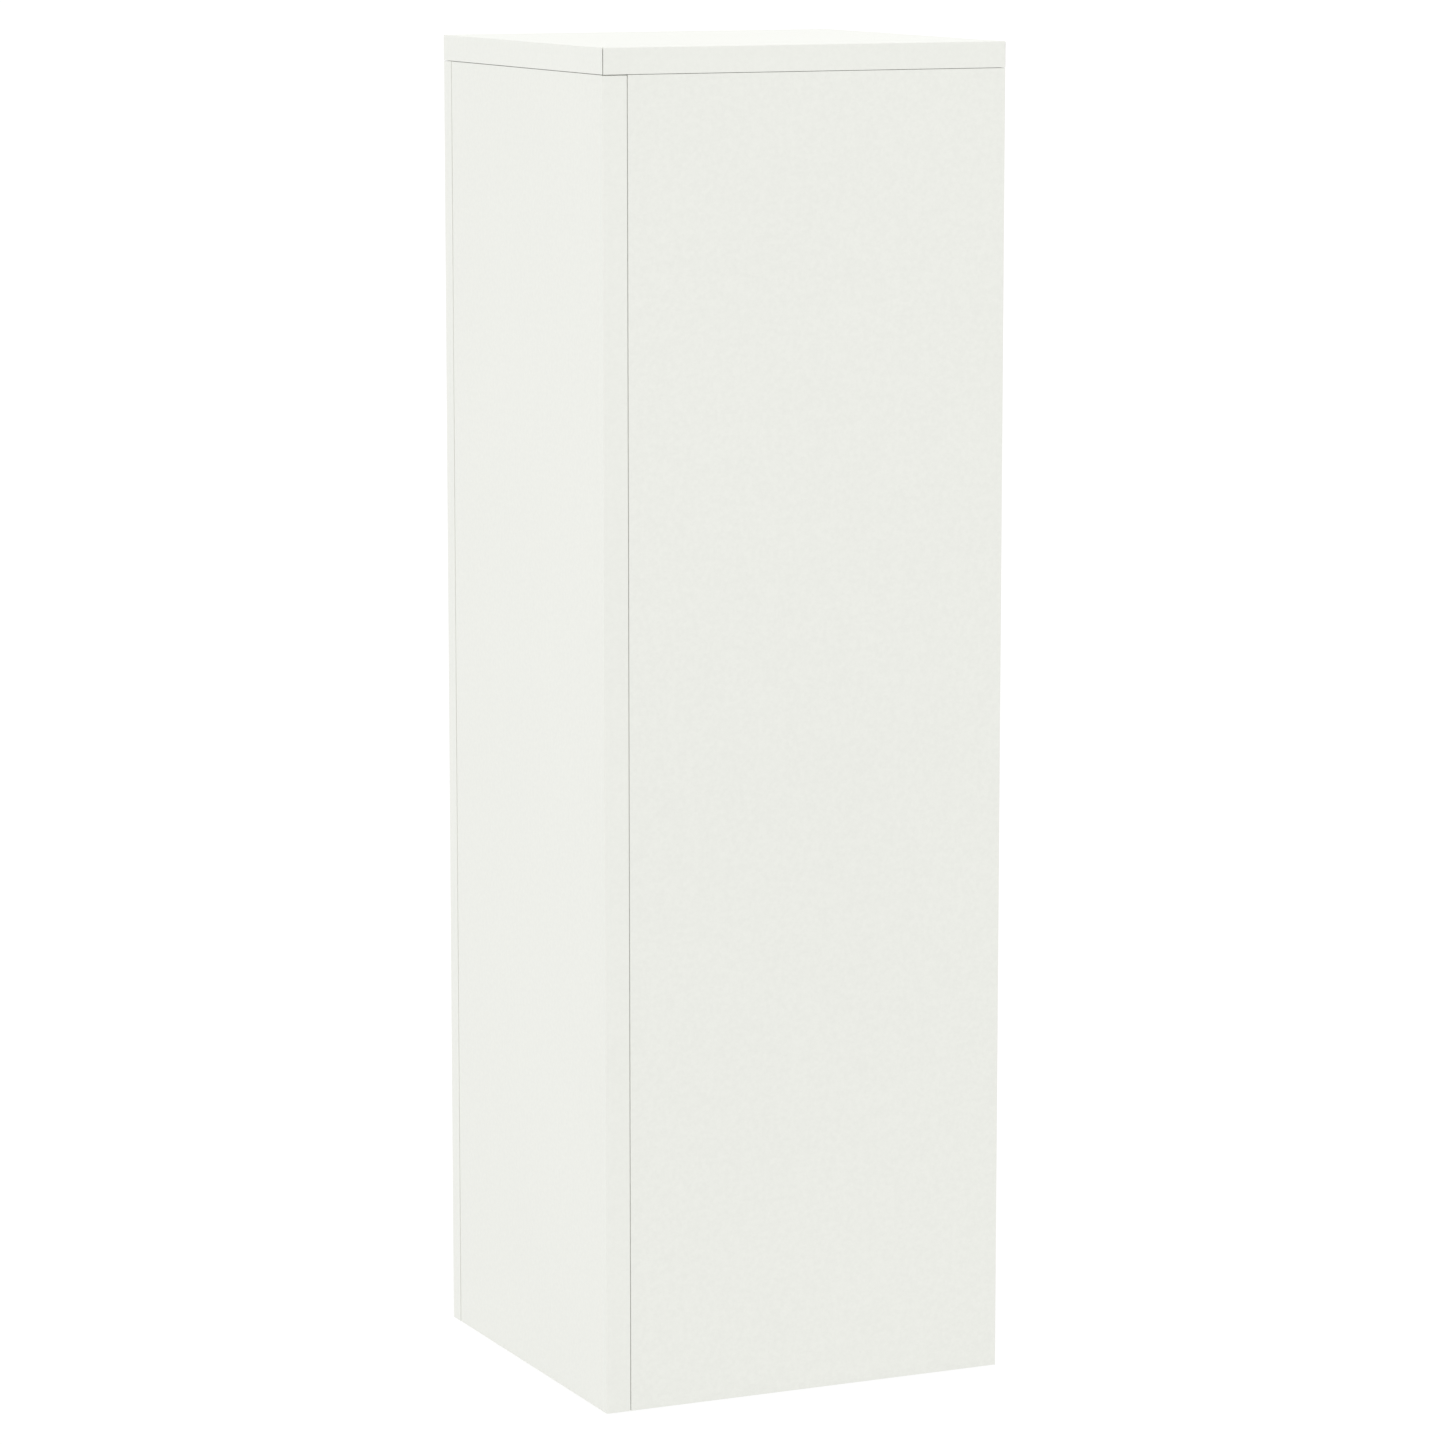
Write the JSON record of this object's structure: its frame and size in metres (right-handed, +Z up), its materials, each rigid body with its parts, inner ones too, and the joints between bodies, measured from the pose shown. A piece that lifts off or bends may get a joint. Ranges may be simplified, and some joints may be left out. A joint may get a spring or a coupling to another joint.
{
  "type": "locker cabinet",
  "caption": "Tall narrow locker cabinet with one full-height handleless overlay door, concealed cup hinges, a push latch, shelves and a full-size top slab.",
  "frame": {"origin": "on the floor under the centre of the cabinet's outline", "axes": "+Z up, front towards -Y, the door's hinged edge at +X"},
  "size_m": [0.32, 0.3, 0.995],
  "materials": {
    "melamine_board": "white melamine-faced particle board",
    "edge_band": "white ABS edge band",
    "zinc_casting": "bright zinc die casting",
    "steel_hardware": "zinc-plated steel",
    "nickel_hinge": "nickel-plated pressed steel",
    "beech_dowel": "beech",
    "glide_plastic": "hard polyethylene",
    "latch_plastic": "light grey moulded plastic",
    "magnet": "nickel-plated magnet"
  },
  "bodies": {
    "cabinet": {"top_panel": "melamine_board", "top_front_band": "edge_band", "top_left_band": "edge_band", "top_right_band": "edge_band", "left_side_panel": "melamine_board", "left_front_band": "edge_band", "right_side_panel": "melamine_board", "right_front_band": "edge_band", "back_panel": "melamine_board", "back_left_band": "edge_band", "back_right_band": "edge_band", "bottom_panel": "melamine_board", "bottom_band": "edge_band", "middle_shelf": "melamine_board", "middle_shelf_band": "edge_band", "lower_shelf": "melamine_board", "lower_shelf_band": "edge_band", "upper_shelf": "melamine_board", "upper_shelf_band": "edge_band", "cam_housings": "zinc_casting", "cam_bolts": "steel_hardware", "wood_dowels": "beech_dowel", "shelf_pins": "steel_hardware", "back_screws": "steel_hardware", "glides": "glide_plastic", "glide_nails": "steel_hardware", "hinge_arms": "nickel_hinge", "arm_pins": "steel_hardware", "mounting_plates": "zinc_casting", "plate_screws": "steel_hardware", "arm_screws": "steel_hardware", "latch_case": "latch_plastic", "latch_screws": "steel_hardware", "latch_spring": "steel_hardware"},
    "outer_hinge_links": {"outer_links": "nickel_hinge"},
    "inner_hinge_links": {"inner_links": "nickel_hinge"},
    "door": {"door_panel": "melamine_board", "door_closing_band": "edge_band", "door_hinge_band": "edge_band", "door_bottom_band": "edge_band", "door_top_band": "edge_band", "hinge_cups": "nickel_hinge", "cup_screws": "steel_hardware", "cup_pins": "steel_hardware", "strike_plate": "steel_hardware", "strike_screw": "steel_hardware"},
    "latch_plunger": {"latch_plunger": "latch_plastic", "latch_magnet": "magnet"}
  },
  "joints": [
    {"name": "outer_link_swing", "type": "hinge", "parent": "cabinet", "child": "outer_hinge_links", "pos_m": [0.135, -0.124, 0.5], "axis": [0, 0, 1], "range_deg": [-38, 0]},
    {"name": "door_swing", "type": "hinge", "parent": "outer_hinge_links", "child": "door", "pos_m": [0.149, -0.138, 0.5], "axis": [0, 0, 1], "range_deg": [0, 133]},
    {"name": "inner_link_swing", "type": "hinge", "parent": "cabinet", "child": "inner_hinge_links", "pos_m": [0.1235, -0.126, 0.5], "axis": [0, 0, 1], "range_deg": [-45.6, 0]},
    {"name": "latch_press", "type": "slide", "parent": "cabinet", "child": "latch_plunger", "axis": [0, 1, 0], "range_m": [0, 0.0025], "stiffness_N_per_m": 400, "springref_m": -0.002, "deforming": ["latch_spring"]}
  ],
  "couplings": [
    {"joint": "outer_link_swing", "follows": "door_swing", "ratio": -0.28571},
    {"joint": "inner_link_swing", "follows": "door_swing", "ratio": -0.34286}
  ]
}
